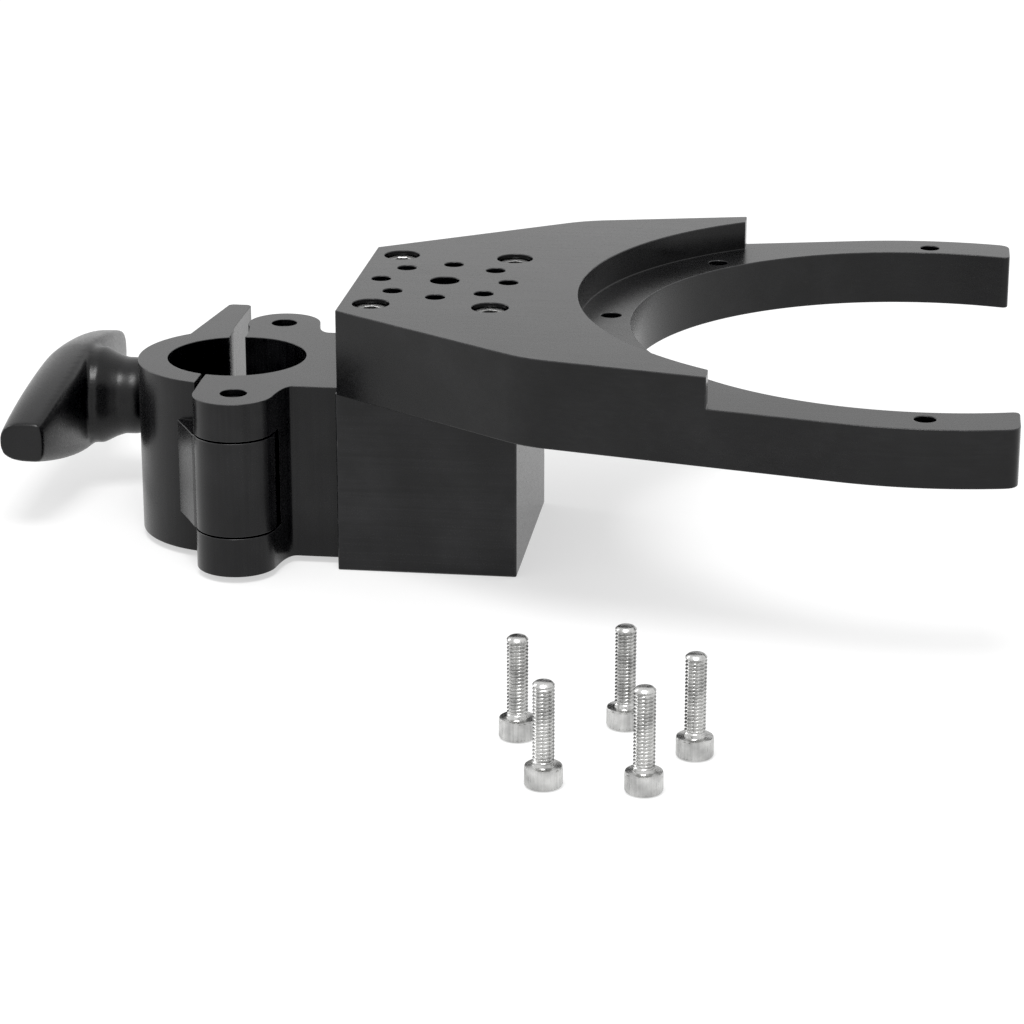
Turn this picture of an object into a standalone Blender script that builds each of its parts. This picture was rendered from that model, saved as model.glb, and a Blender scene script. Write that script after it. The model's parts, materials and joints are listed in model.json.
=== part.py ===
"""Hinged pole clamp with a riser block and a stepped fork plate.

The bracket stands on the underside of its riser block, at z = 0. The vertical
axis of the hole circle in the plate passes through the origin. +X points to the
open end of the fork, the pole bore is on the -X side, and +Z is up.
"""

import math

import bmesh
import bpy
from mathutils import Matrix, Vector

MM = 0.001

# Fork plate -----------------------------------------------------------------
PLATE_BOTTOM = 39.4
PLATE_TOP = 57.6
LEDGE_Z = 51.2
PLATE_LEFT_X = -18.9
PLATE_LEFT_HALF = 26.9
PLATE_EDGE_SLOPE = 0.703
PLATE_SIDE_SLOPE = 0.235
PLATE_BEND_R = 25.0
STEP_X = 60.5
FORK_X = 102.5
FORK_INNER_R = 62.3
FORK_OUTER_R = 73.5
FORK_TIP_X = 120.6
TIP_ROUND_R = 2.6
RING_HOLE_R = 66.8
RING_HOLE_DIA = 4.3
RING_HOLE_ANGLES = (90.0, 135.0, 180.0, 225.0, 270.0)
BOLT_CIRCLE_R = 13.7
BOLT_HOLE_DIA = 4.2
BOLT_HOLE_COUNT = 8
CENTRE_HOLE_DIA = 6.3

# Riser block ----------------------------------------------------------------
BLOCK_X0, BLOCK_X1 = -19.6, 18.6
BLOCK_HALF_Y = 24.9
BLOCK_TOP = 39.1

# Plate screws, M4 x 25 in counterbores ---------------------------------------
PLATE_SCREW_X, PLATE_SCREW_Y = 12.5, 20.5
M4_HEAD_R, M4_HEAD_H, M4_R = 3.5, 4.0, 2.0
M4_HEX = 3.0
PLATE_SCREW_LENGTH = 25.0
COUNTERBORE_R = 3.9
COUNTERBORE_FLOOR = 52.4
SCREW_SEAT_GAP = 0.3
M4_HOLE_R = 2.35

# Loose ring screws, M4 x 16, standing on their heads --------------------------
LOOSE_LENGTH = 16.0
LOOSE_POSITIONS = (
    (37.1, -132.1),
    (55.2, -132.4),
    (63.0, -115.2),
    (29.7, -110.5),
    (49.0, -102.7),
)

# Pole clamp -------------------------------------------------------------------
CLAMP_Z0, CLAMP_Z1 = 1.4, 39.2
BORE_X = -45.6
BORE_R = 15.0
RING_R = 21.4
BODY_SPLIT_X = -49.4
BODY_FAR_SPLIT_X = -47.0
JAW_SPLIT_X = -50.4
NECK_HALF = 21.0
NECK_X1 = -19.9
NECK_FILLET_X = -29.0
PIVOT_X = -40.6
PIVOT_Y = 27.6
HINGE_BOSS_R = 8.6
BOLT_BOSS_R = 8.1
PIN_R = 2.5
PIN_HOLE_R = 2.85
PIN_RECESS = 1.2
KNUCKLE_Z0, KNUCKLE_Z1 = 10.2, 30.7
KNUCKLE_GAP = 0.35
BOLT_Z = 20.9
EYE_R = 7.0
EYE_HALF = 3.6
EYE_SLOT_HALF = 3.9
BOLT_R = 3.0
BOLT_END_X = -80.1
LUG_INNER_X = -51.0
LUG_OUTER_X = -59.6
LUG_TIP_X = -56.2
LUG_TIP_Y = 41.8
LUG_SEAT_X = -57.9
LUG_SEAT_HALF = 7.4
LUG_SLOT_Y = 22.6
LUG_SLOT_HALF = 3.5

# Clamp-to-block screws, M5 x 20 -------------------------------------------------
BODY_SCREW_Z = (11.0, 31.0)
M5_HEAD_R, M5_HEAD_H, M5_R = 4.25, 5.0, 2.5
M5_HEX = 4.0
BODY_SCREW_SEAT_X = -25.6

# T-handle -----------------------------------------------------------------------
WASHER_X = -70.1
WASHER_T = 1.6
WASHER_R, WASHER_HOLE_R = 6.25, 3.35
HUB_X = -72.0
HUB_END_R, HUB_R = 7.4, 8.7
HUB_BACK_X = -86.0
HUB_DEPTH = 20.4
INSERT_R, INSERT_HOLE_R = 4.8, 3.35
INSERT_LENGTH = 12.0
BAR_HALF = 38.4
BAR_HALF_Z, BAR_TIP_HALF_Z = 11.8, 4.2
BAR_INNER_X, BAR_TIP_INNER_X = -84.0, -86.9
BAR_DEPTH, BAR_TIP_DEPTH = 14.0, 9.5

ROUND = 96
SMALL_ROUND = 16


# Scene --------------------------------------------------------------------------
for old in list(bpy.data.objects):
    bpy.data.objects.remove(old, do_unlink=True)

PARTS = bpy.data.collections.new("fork_clamp_bracket")
CUTTERS = bpy.data.collections.new("cutters")
bpy.context.scene.collection.children.link(PARTS)
bpy.context.scene.collection.children.link(CUTTERS)


def material(name, colour, roughness, metallic):
    made = bpy.data.materials.new(name)
    made.use_nodes = True
    shader = made.node_tree.nodes["Principled BSDF"]
    shader.inputs["Base Color"].default_value = (*colour, 1.0)
    shader.inputs["Roughness"].default_value = roughness
    shader.inputs["Metallic"].default_value = metallic
    made.diffuse_color = (*colour, 1.0)
    return made


ANODISED = material("black_anodised_aluminium", (0.025, 0.025, 0.027), 0.38, 0.6)
PLASTIC = material("black_plastic", (0.018, 0.018, 0.019), 0.45, 0.0)
STAINLESS = material("stainless_steel", (0.62, 0.62, 0.61), 0.28, 1.0)
DARK_STEEL = material("blackened_steel", (0.06, 0.06, 0.065), 0.4, 0.9)
BRASS = material("brass", (0.62, 0.46, 0.2), 0.35, 1.0)


def place(obj, collection):
    for holder in list(obj.users_collection):
        holder.objects.unlink(obj)
    collection.objects.link(obj)
    if collection is CUTTERS:
        obj.hide_render = True
        obj.display_type = "WIRE"


def finish(obj, name, look, angle=35.0):
    obj.name = name
    obj.data.name = name
    obj.data.materials.clear()
    obj.data.materials.append(look)
    obj.data.shade_smooth()
    obj.data.set_sharp_from_angle(angle=math.radians(angle))
    return obj


def outline(name, points, z0, z1, collection):
    """A closed flat outline in millimetres, filled and extruded from z0 to z1, as a mesh."""
    curve = bpy.data.curves.new(name, "CURVE")
    curve.dimensions = "2D"
    curve.fill_mode = "BOTH"
    curve.extrude = (z1 - z0) / 2 * MM
    spline = curve.splines.new("POLY")
    spline.points.add(len(points) - 1)
    for point, (x, y) in zip(spline.points, points):
        point.co = (x * MM, y * MM, 0.0, 1.0)
    spline.use_cyclic_u = True
    flat = bpy.data.objects.new(name + "_outline", curve)
    flat.location = (0.0, 0.0, (z0 + z1) / 2 * MM)
    PARTS.objects.link(flat)
    bpy.context.view_layer.update()
    graph = bpy.context.evaluated_depsgraph_get()
    mesh = bpy.data.meshes.new_from_object(flat.evaluated_get(graph))
    work = bmesh.new()
    work.from_mesh(mesh)
    bmesh.ops.remove_doubles(work, verts=work.verts, dist=0.000005)
    bmesh.ops.recalc_face_normals(work, faces=work.faces)
    work.to_mesh(mesh)
    work.free()
    solid = bpy.data.objects.new(name, mesh)
    solid.matrix_world = flat.matrix_world.copy()
    bpy.data.objects.remove(flat, do_unlink=True)
    collection.objects.link(solid)
    place(solid, collection)
    return solid


AXES = {
    "X": Matrix.Rotation(math.pi / 2, 4, "Y"),
    "Y": Matrix.Rotation(-math.pi / 2, 4, "X"),
    "Z": Matrix.Identity(4),
}


def cylinder(name, radius, start, length, axis, collection, sides=SMALL_ROUND):
    """A cylinder from a start point, in millimetres, along +axis."""
    turn = AXES[axis]
    middle = Vector(start) + turn.to_3x3() @ Vector((0, 0, length / 2))
    bpy.ops.mesh.primitive_cylinder_add(
        vertices=sides, radius=radius * MM, depth=length * MM
    )
    made = bpy.context.object
    made.name = name
    made.data.transform(turn)
    made.location = middle * MM
    place(made, collection)
    return made


def box(name, low, high, collection):
    size = [b - a for a, b in zip(low, high)]
    bpy.ops.mesh.primitive_cube_add(size=1.0)
    made = bpy.context.object
    made.name = name
    made.data.transform(Matrix.Diagonal((*[s * MM for s in size], 1.0)))
    made.location = [(a + b) / 2 * MM for a, b in zip(low, high)]
    place(made, collection)
    return made


def turned(name, profile, origin, axis, collection, sides=SMALL_ROUND * 2):
    """A profile of (radius, height) in millimetres, top to bottom on its outer side, spun about the axis."""
    mesh = bpy.data.meshes.new(name)
    work = bmesh.new()
    verts = [work.verts.new((r * MM, 0.0, h * MM)) for r, h in profile]
    for a, b in zip(verts[:-1], verts[1:]):
        work.edges.new((a, b))
    work.to_mesh(mesh)
    work.free()
    made = bpy.data.objects.new(name, mesh)
    collection.objects.link(made)
    place(made, collection)
    spin = made.modifiers.new("spin", "SCREW")
    spin.axis = "Z"
    spin.steps = sides
    spin.render_steps = sides
    spin.use_merge_vertices = True
    spin.merge_threshold = 0.00001
    bpy.context.view_layer.update()
    graph = bpy.context.evaluated_depsgraph_get()
    solid = bpy.data.meshes.new_from_object(made.evaluated_get(graph))
    made.modifiers.clear()
    made.data = solid
    solid.transform(AXES[axis])
    made.location = [c * MM for c in origin]
    return made


def boolean(obj, other, operation):
    step = obj.modifiers.new(operation.lower() + "_" + other.name, "BOOLEAN")
    step.operation = operation
    step.solver = "EXACT"
    step.object = other


def settle(obj):
    """Applies the modifiers, so that the mesh holds the finished shape."""
    bpy.context.view_layer.update()
    graph = bpy.context.evaluated_depsgraph_get()
    mesh = bpy.data.meshes.new_from_object(obj.evaluated_get(graph))
    obj.modifiers.clear()
    obj.data = mesh


def move_origin(obj, point):
    """Puts the object's origin at a point in millimetres and leaves its shape where it is."""
    target = Vector(point) * MM
    shift = obj.location - target
    obj.data.transform(Matrix.Translation(shift))
    obj.location = target


def arc(centre, radius, start, end, count):
    """Points on a circle in degrees from start to end, both included."""
    points = []
    for i in range(count + 1):
        angle = math.radians(start + (end - start) * i / count)
        points.append(
            (centre[0] + radius * math.cos(angle), centre[1] + radius * math.sin(angle))
        )
    return points


def rounded(corners, radii, steps=6):
    """A polygon whose corners are rounded, each with its own radius."""
    made = []
    count = len(corners)
    for i in range(count):
        corner = Vector(corners[i])
        radius = radii[i]
        if radius <= 0:
            made.append(tuple(corner))
            continue
        before = (Vector(corners[i - 1]) - corner).normalized()
        after = (Vector(corners[(i + 1) % count]) - corner).normalized()
        half = math.acos(max(-1.0, min(1.0, before.dot(after)))) / 2
        reach = radius / math.tan(half)
        centre = corner + (before + after).normalized() * (radius / math.sin(half))
        first = corner + before * reach - centre
        last = corner + after * reach - centre
        sweep = first.angle_signed(last)
        for k in range(steps + 1):
            turn = Matrix.Rotation(-sweep * k / steps, 2)
            made.append(tuple(centre + turn @ first))
    return made


# Fork plate: one stepped C shape ---------------------------------------------------
def fork_outline():
    lean = math.atan(PLATE_SIDE_SLOPE)
    touch = (
        FORK_X - FORK_OUTER_R * math.sin(lean),
        -FORK_OUTER_R * math.cos(lean),
    )
    edge_y = -PLATE_LEFT_HALF - PLATE_EDGE_SLOPE * (0.0 - PLATE_LEFT_X)
    side_y = touch[1] + PLATE_SIDE_SLOPE * touch[0]
    bend_x = (edge_y - side_y) / (PLATE_EDGE_SLOPE - PLATE_SIDE_SLOPE)
    near = rounded(
        [
            (PLATE_LEFT_X, -PLATE_LEFT_HALF),
            (bend_x, edge_y - PLATE_EDGE_SLOPE * bend_x),
            touch,
        ],
        [0, PLATE_BEND_R, 0],
    )[:-1]
    tip_outer = math.degrees(math.acos((FORK_TIP_X - FORK_X) / FORK_OUTER_R))
    tip_inner = math.degrees(math.acos((FORK_TIP_X - FORK_X) / FORK_INNER_R))
    start_outer = 90.0 + math.degrees(lean)
    edge = math.degrees(TIP_ROUND_R / FORK_OUTER_R)
    outer = arc((FORK_X, 0.0), FORK_OUTER_R, -start_outer, -tip_outer - edge, 20)
    yo = FORK_OUTER_R * math.sin(math.radians(tip_outer))
    yi = FORK_INNER_R * math.sin(math.radians(tip_inner))
    tip = [
        (FORK_TIP_X - TIP_ROUND_R * 0.28, -yo + TIP_ROUND_R * 0.42),
        (FORK_TIP_X, -yo + TIP_ROUND_R * 1.35),
        (FORK_TIP_X, -yi - TIP_ROUND_R * 0.6),
        (FORK_TIP_X - TIP_ROUND_R * 0.25, -yi - TIP_ROUND_R * 0.12),
    ]
    inner_edge = math.degrees(TIP_ROUND_R * 0.7 / FORK_INNER_R)
    inner = arc((FORK_X, 0.0), FORK_INNER_R, 360.0 - tip_inner - inner_edge, 180.0, 30)
    half = near + outer + tip + inner
    mirrored = [(x, -y) for x, y in reversed(half[:-1])]
    return half + mirrored


fork_plate = outline("fork_plate", fork_outline(), PLATE_BOTTOM, PLATE_TOP, PARTS)
step_angle = math.degrees(math.acos((STEP_X - FORK_X) / FORK_OUTER_R))
recess_points = arc(
    (FORK_X, 0.0), FORK_OUTER_R, step_angle, 360.0 - step_angle, 60
) + [(STEP_X, -90.0), (150.0, -90.0), (150.0, 90.0), (STEP_X, 90.0)]
recess_cut = outline("recess_cut", recess_points, LEDGE_Z, PLATE_TOP + 10.0, CUTTERS)
boolean(fork_plate, recess_cut, "DIFFERENCE")

for i in range(BOLT_HOLE_COUNT):
    angle = 2 * math.pi * i / BOLT_HOLE_COUNT
    boolean(
        fork_plate,
        cylinder(
            f"bolt_hole_{i}",
            BOLT_HOLE_DIA / 2,
            (BOLT_CIRCLE_R * math.cos(angle), BOLT_CIRCLE_R * math.sin(angle), 30.0),
            40.0,
            "Z",
            CUTTERS,
        ),
        "DIFFERENCE",
    )
boolean(
    fork_plate,
    cylinder("centre_hole", CENTRE_HOLE_DIA / 2, (0, 0, 30.0), 40.0, "Z", CUTTERS),
    "DIFFERENCE",
)
for angle in RING_HOLE_ANGLES:
    x = FORK_X + RING_HOLE_R * math.cos(math.radians(angle))
    y = RING_HOLE_R * math.sin(math.radians(angle))
    boolean(
        fork_plate,
        cylinder(
            f"ring_hole_{angle:.0f}", RING_HOLE_DIA / 2, (x, y, 30.0), 40.0, "Z", CUTTERS
        ),
        "DIFFERENCE",
    )

plate_screw_spots = [
    (-PLATE_SCREW_X, -PLATE_SCREW_Y),
    (PLATE_SCREW_X, -PLATE_SCREW_Y),
    (-PLATE_SCREW_X, PLATE_SCREW_Y),
    (PLATE_SCREW_X, PLATE_SCREW_Y),
]
for i, (x, y) in enumerate(plate_screw_spots, 1):
    bore_profile = [
        (0.0, PLATE_TOP + 10.0),
        (COUNTERBORE_R, PLATE_TOP + 10.0),
        (COUNTERBORE_R, COUNTERBORE_FLOOR),
        (M4_HOLE_R, COUNTERBORE_FLOOR),
        (M4_HOLE_R, 30.0),
        (0.0, 30.0),
    ]
    cutter = turned(f"counterbore_{i}", bore_profile, (x, y, 0.0), "Z", CUTTERS, 20)
    boolean(fork_plate, cutter, "DIFFERENCE")
settle(fork_plate)
finish(fork_plate, "fork_plate", ANODISED)

# Riser block ---------------------------------------------------------------------
riser_block = box(
    "riser_block",
    (BLOCK_X0, -BLOCK_HALF_Y, 0.0),
    (BLOCK_X1, BLOCK_HALF_Y, BLOCK_TOP),
    PARTS,
)
screw_tip_z = COUNTERBORE_FLOOR + SCREW_SEAT_GAP - PLATE_SCREW_LENGTH
for i, (x, y) in enumerate(plate_screw_spots, 1):
    boolean(
        riser_block,
        cylinder(
            f"block_thread_{i}",
            M4_HOLE_R,
            (x, y, screw_tip_z - 2.0),
            30.0,
            "Z",
            CUTTERS,
        ),
        "DIFFERENCE",
    )
for i, z in enumerate(BODY_SCREW_Z, 1):
    boolean(
        riser_block,
        cylinder(
            f"block_side_thread_{i}",
            M5_R + 0.35,
            (BLOCK_X0 - 5.0, 0.0, z),
            BODY_SCREW_SEAT_X + 20.0 + 1.5 - (BLOCK_X0 - 5.0),
            "X",
            CUTTERS,
        ),
        "DIFFERENCE",
    )
settle(riser_block)
finish(riser_block, "riser_block", ANODISED)


# Socket-head screws ----------------------------------------------------------------
def socket_screw(name, head_r, head_h, shank_r, length, hexagon, depth, look):
    """A socket-head screw along Z with its bearing face at the origin and its head up."""
    profile = [
        (0.0, head_h),
        (head_r - 0.35, head_h),
        (head_r, head_h - 0.35),
        (head_r, 0.0),
        (shank_r, 0.0),
        (shank_r, -length + 0.5),
        (shank_r - 0.5, -length),
        (0.0, -length),
    ]
    screw = turned(name, profile, (0, 0, 0), "Z", PARTS, SMALL_ROUND)
    socket = cylinder(
        name + "_socket",
        hexagon / 2 / math.cos(math.pi / 6),
        (0, 0, head_h - depth),
        depth + 3.0,
        "Z",
        CUTTERS,
        6,
    )
    boolean(screw, socket, "DIFFERENCE")
    settle(screw)
    return finish(screw, name, look)


for i, (x, y) in enumerate(plate_screw_spots, 1):
    screw = socket_screw(
        f"plate_screw_{i}",
        M4_HEAD_R,
        M4_HEAD_H,
        M4_R,
        PLATE_SCREW_LENGTH,
        M4_HEX,
        2.0,
        STAINLESS,
    )
    screw.location = (x * MM, y * MM, (COUNTERBORE_FLOOR + SCREW_SEAT_GAP) * MM)

for i, z in enumerate(BODY_SCREW_Z, 1):
    screw = socket_screw(
        f"body_screw_{i}", M5_HEAD_R, M5_HEAD_H, M5_R, 20.0, M5_HEX, 2.5, DARK_STEEL
    )
    screw.data.transform(Matrix.Rotation(-math.pi / 2, 4, "Y"))
    screw.location = (BODY_SCREW_SEAT_X * MM, 0.0, z * MM)

for i, (x, y) in enumerate(LOOSE_POSITIONS, 1):
    screw = socket_screw(
        f"loose_screw_{i}",
        M4_HEAD_R,
        M4_HEAD_H,
        M4_R,
        LOOSE_LENGTH,
        M4_HEX,
        2.0,
        STAINLESS,
    )
    screw.data.transform(Matrix.Rotation(math.pi, 4, "X"))
    screw.location = (x * MM, y * MM, M4_HEAD_H * MM)


# Clamp body --------------------------------------------------------------------------
def boss_side(split_x, boss_r, start, sign):
    """One side of the body from its split face round the boss to the block end of the neck."""
    side = [(split_x, sign * 19.0)]
    side += [
        (x, sign * y) for x, y in arc((PIVOT_X, PIVOT_Y), boss_r, start, 12.0, 22)
    ]
    corner = Vector((NECK_FILLET_X, sign * NECK_HALF))
    last = Vector(side[-1])
    control = Vector((last.x + 0.9, sign * NECK_HALF))
    for k in range(1, 6):
        t = k / 6
        side.append(
            tuple(last * (1 - t) ** 2 + control * 2 * t * (1 - t) + corner * t**2)
        )
    return side + [tuple(corner), (NECK_X1, sign * NECK_HALF)]


def clamp_body_outline():
    near_split = math.degrees(math.acos((BORE_X - BODY_SPLIT_X) / BORE_R))
    far_split = math.degrees(math.acos((BORE_X - BODY_FAR_SPLIT_X) / BORE_R))
    bore = arc((BORE_X, 0.0), BORE_R, near_split - 180.0, 180.0 - far_split, 40)
    far = boss_side(BODY_FAR_SPLIT_X, BOLT_BOSS_R, 208.0, 1)
    near = boss_side(BODY_SPLIT_X, HINGE_BOSS_R, 184.0, -1)
    return bore + far + near[::-1]


clamp_body = outline("clamp_body", clamp_body_outline(), CLAMP_Z0, CLAMP_Z1, PARTS)
low = KNUCKLE_Z0 - KNUCKLE_GAP
high = KNUCKLE_Z1 + KNUCKLE_GAP
boolean(
    clamp_body,
    cylinder(
        "knuckle_room",
        HINGE_BOSS_R + 0.6,
        (PIVOT_X, -PIVOT_Y, low),
        high - low,
        "Z",
        CUTTERS,
        40,
    ),
    "DIFFERENCE",
)
boolean(
    clamp_body,
    box("link_room", (-62.0, -40.0, low), (-45.4, -19.6, high), CUTTERS),
    "DIFFERENCE",
)
boolean(
    clamp_body,
    box(
        "eye_slot",
        (-62.0, 19.8, BOLT_Z - EYE_SLOT_HALF),
        (-28.4, 42.0, BOLT_Z + EYE_SLOT_HALF),
        CUTTERS,
    ),
    "DIFFERENCE",
)
for side, y in (("near", -PIVOT_Y), ("far", PIVOT_Y)):
    boolean(
        clamp_body,
        cylinder(
            f"pin_hole_{side}", PIN_HOLE_R, (PIVOT_X, y, -5.0), 55.0, "Z", CUTTERS
        ),
        "DIFFERENCE",
    )
for i, z in enumerate(BODY_SCREW_Z, 1):
    neck_profile = [
        (0.0, 12.0),
        (M5_HEAD_R + 0.35, 12.0),
        (M5_HEAD_R + 0.35, -0.3),
        (M5_R + 0.35, -0.3),
        (M5_R + 0.35, -12.0),
        (0.0, -12.0),
    ]
    cutter = turned(f"neck_bore_{i}", neck_profile, (0, 0, 0), "Z", CUTTERS, 20)
    cutter.data.transform(Matrix.Rotation(-math.pi / 2, 4, "Y"))
    cutter.location = (BODY_SCREW_SEAT_X * MM, 0.0, z * MM)
    boolean(clamp_body, cutter, "DIFFERENCE")
settle(clamp_body)
finish(clamp_body, "clamp_body", ANODISED)


# Clamp jaw ---------------------------------------------------------------------------
def clamp_jaw_outline():
    split = math.degrees(math.acos((BORE_X - JAW_SPLIT_X) / BORE_R))
    bore = arc((BORE_X, 0.0), BORE_R, 180.0 - split, 180.0 + split, 36)
    ring_split = math.degrees(math.acos((BORE_X - JAW_SPLIT_X) / RING_R))
    lug_y = math.sqrt(RING_R**2 - (BORE_X - LUG_OUTER_X) ** 2)
    lug_angle = math.degrees(math.atan2(lug_y, LUG_OUTER_X - BORE_X))
    ring = arc((BORE_X, 0.0), RING_R, 180.0 + ring_split, lug_angle, 40)
    lug = [
        (LUG_TIP_X, LUG_TIP_Y - 0.6),
        (LUG_TIP_X + 0.8, LUG_TIP_Y),
        (LUG_INNER_X - 0.8, LUG_TIP_Y),
        (LUG_INNER_X, LUG_TIP_Y - 0.8),
        (LUG_INNER_X, 22.5),
    ]
    return bore + ring + lug + [(JAW_SPLIT_X, 19.0)]


clamp_jaw = outline("clamp_jaw", clamp_jaw_outline(), CLAMP_Z0, CLAMP_Z1, PARTS)
link_points = [
    (-46.6, -32.4),
    (-49.2, -30.2),
    (-51.6, -25.6),
    (-54.4, -20.6),
    (-52.4, -16.5),
    (-50.4, -16.5),
    (-50.4, -20.0),
    (-46.6, -21.9),
]
knuckle_link = outline("knuckle_link", link_points, KNUCKLE_Z0, KNUCKLE_Z1, CUTTERS)
knuckle = cylinder(
    "knuckle",
    HINGE_BOSS_R,
    (PIVOT_X, -PIVOT_Y, KNUCKLE_Z0),
    KNUCKLE_Z1 - KNUCKLE_Z0,
    "Z",
    CUTTERS,
    40,
)
boolean(knuckle_link, knuckle, "UNION")
settle(knuckle_link)
boolean(clamp_jaw, knuckle_link, "UNION")
boolean(
    clamp_jaw,
    cylinder("jaw_pin_hole", PIN_HOLE_R, (PIVOT_X, -PIVOT_Y, -5.0), 55.0, "Z", CUTTERS),
    "DIFFERENCE",
)
boolean(
    clamp_jaw,
    box(
        "lug_slot",
        (-64.0, LUG_SLOT_Y, BOLT_Z - LUG_SLOT_HALF),
        (-46.0, 50.0, BOLT_Z + LUG_SLOT_HALF),
        CUTTERS,
    ),
    "DIFFERENCE",
)
boolean(
    clamp_jaw,
    box(
        "washer_seat",
        (-66.0, 20.6, BOLT_Z - LUG_SEAT_HALF),
        (LUG_SEAT_X, 50.0, BOLT_Z + LUG_SEAT_HALF),
        CUTTERS,
    ),
    "DIFFERENCE",
)
settle(clamp_jaw)
finish(clamp_jaw, "clamp_jaw", ANODISED)
move_origin(clamp_jaw, (PIVOT_X, -PIVOT_Y, (CLAMP_Z0 + CLAMP_Z1) / 2))

# Pins ----------------------------------------------------------------------------------
for name, y in (("hinge_pin", -PIVOT_Y), ("swing_bolt_pin", PIVOT_Y)):
    bottom, top = CLAMP_Z0 + PIN_RECESS, CLAMP_Z1 - PIN_RECESS
    pin = turned(
        name,
        [
            (0.0, top),
            (PIN_R - 0.4, top),
            (PIN_R, top - 0.4),
            (PIN_R, bottom + 0.4),
            (PIN_R - 0.4, bottom),
            (0.0, bottom),
        ],
        (PIVOT_X, y, 0.0),
        "Z",
        PARTS,
        SMALL_ROUND,
    )
    finish(pin, name, DARK_STEEL)

# Swing bolt: an eye with a threaded shank ------------------------------------------------
swing_bolt = cylinder(
    "swing_bolt",
    EYE_R,
    (PIVOT_X, PIVOT_Y, BOLT_Z - EYE_HALF),
    2 * EYE_HALF,
    "Z",
    PARTS,
    32,
)
shank = turned(
    "shank",
    [
        (0.0, 0.0),
        (BOLT_R, 0.0),
        (BOLT_R, BOLT_END_X - (PIVOT_X - 5.0) + 0.6),
        (BOLT_R - 0.6, BOLT_END_X - (PIVOT_X - 5.0)),
        (0.0, BOLT_END_X - (PIVOT_X - 5.0)),
    ],
    (PIVOT_X - 5.0, PIVOT_Y, BOLT_Z),
    "X",
    CUTTERS,
    SMALL_ROUND,
)
boolean(swing_bolt, shank, "UNION")
boolean(
    swing_bolt,
    cylinder("eye_hole", PIN_HOLE_R, (PIVOT_X, PIVOT_Y, 0.0), 50.0, "Z", CUTTERS),
    "DIFFERENCE",
)
settle(swing_bolt)
finish(swing_bolt, "swing_bolt", DARK_STEEL)
move_origin(swing_bolt, (PIVOT_X, PIVOT_Y, BOLT_Z))

# Thrust washer ------------------------------------------------------------------------------
washer_hole = cylinder(
    "washer_hole", WASHER_HOLE_R, (WASHER_X - 10.0, PIVOT_Y, BOLT_Z), 20.0, "X", CUTTERS
)
thrust_washer = cylinder(
    "thrust_washer",
    WASHER_R,
    (WASHER_X - WASHER_T, PIVOT_Y, BOLT_Z),
    WASHER_T,
    "X",
    PARTS,
    28,
)
boolean(thrust_washer, washer_hole, "DIFFERENCE")
settle(thrust_washer)
finish(thrust_washer, "thrust_washer", STAINLESS)
move_origin(thrust_washer, (WASHER_X, PIVOT_Y, BOLT_Z))

# T-handle: a hub with a swept crossbar, and its threaded insert --------------------------------
hub = turned(
    "t_handle",
    [
        (0.0, 0.0),
        (HUB_END_R, 0.0),
        (HUB_END_R + 0.9, -1.2),
        (HUB_R, -2.6),
        (HUB_R, -5.4),
        (HUB_R + 0.8, -7.6),
        (HUB_R + 2.3, -10.4),
        (HUB_R + 2.3, HUB_BACK_X - HUB_X),
        (0.0, HUB_BACK_X - HUB_X),
    ],
    (HUB_X, PIVOT_Y, BOLT_Z),
    "X",
    PARTS,
    32,
)


def crossbar(name, collection):
    """A loft along Y through elliptical sections that thin and sweep back to each end."""
    sections = 14
    around = 20
    work = bmesh.new()
    rings = []
    for i in range(sections + 1):
        u = -1.0 + 2.0 * i / sections
        y = PIVOT_Y + BAR_HALF * u
        w = abs(u)
        half_z = BAR_TIP_HALF_Z + (BAR_HALF_Z - BAR_TIP_HALF_Z) * (1.0 - w**1.5)
        inner_x = BAR_INNER_X + (BAR_TIP_INNER_X - BAR_INNER_X) * w**2
        depth = BAR_DEPTH + (BAR_TIP_DEPTH - BAR_DEPTH) * w**2
        inside = 3.0 - 0.4 * w
        ring = []
        for k in range(around):
            a = 2 * math.pi * k / around
            ca, sa = math.cos(a), math.sin(a)
            if ca > 0:
                px = inner_x - inside + inside * ca**0.45
            else:
                px = inner_x - inside - (depth - inside) * (-ca) ** (1.0 - 0.35 * w**2)
            pz = math.copysign(abs(sa) ** (0.8 - 0.1 * w**2), sa) * half_z
            ring.append(work.verts.new((px * MM, y * MM, (BOLT_Z + pz) * MM)))
        rings.append(ring)
    for a, b in zip(rings[:-1], rings[1:]):
        for k in range(around):
            n = (k + 1) % around
            work.faces.new((a[k], a[n], b[n], b[k]))
    work.faces.new(rings[0])
    work.faces.new(rings[-1][::-1])
    bmesh.ops.recalc_face_normals(work, faces=work.faces)
    mesh = bpy.data.meshes.new(name)
    work.to_mesh(mesh)
    work.free()
    made = bpy.data.objects.new(name, mesh)
    collection.objects.link(made)
    place(made, collection)
    return made


t_handle = hub
boolean(t_handle, crossbar("crossbar", CUTTERS), "UNION")
insert_room = turned(
    "insert_room",
    [
        (0.0, 10.0),
        (INSERT_R + 0.3, 10.0),
        (INSERT_R + 0.3, -INSERT_LENGTH - 0.9),
        (INSERT_HOLE_R, -INSERT_LENGTH - 0.9),
        (INSERT_HOLE_R, -HUB_DEPTH),
        (0.0, -HUB_DEPTH),
    ],
    (HUB_X, PIVOT_Y, BOLT_Z),
    "X",
    CUTTERS,
    24,
)
boolean(t_handle, insert_room, "DIFFERENCE")
settle(t_handle)
finish(t_handle, "t_handle", PLASTIC)
move_origin(t_handle, (HUB_X, PIVOT_Y, BOLT_Z))

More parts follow.
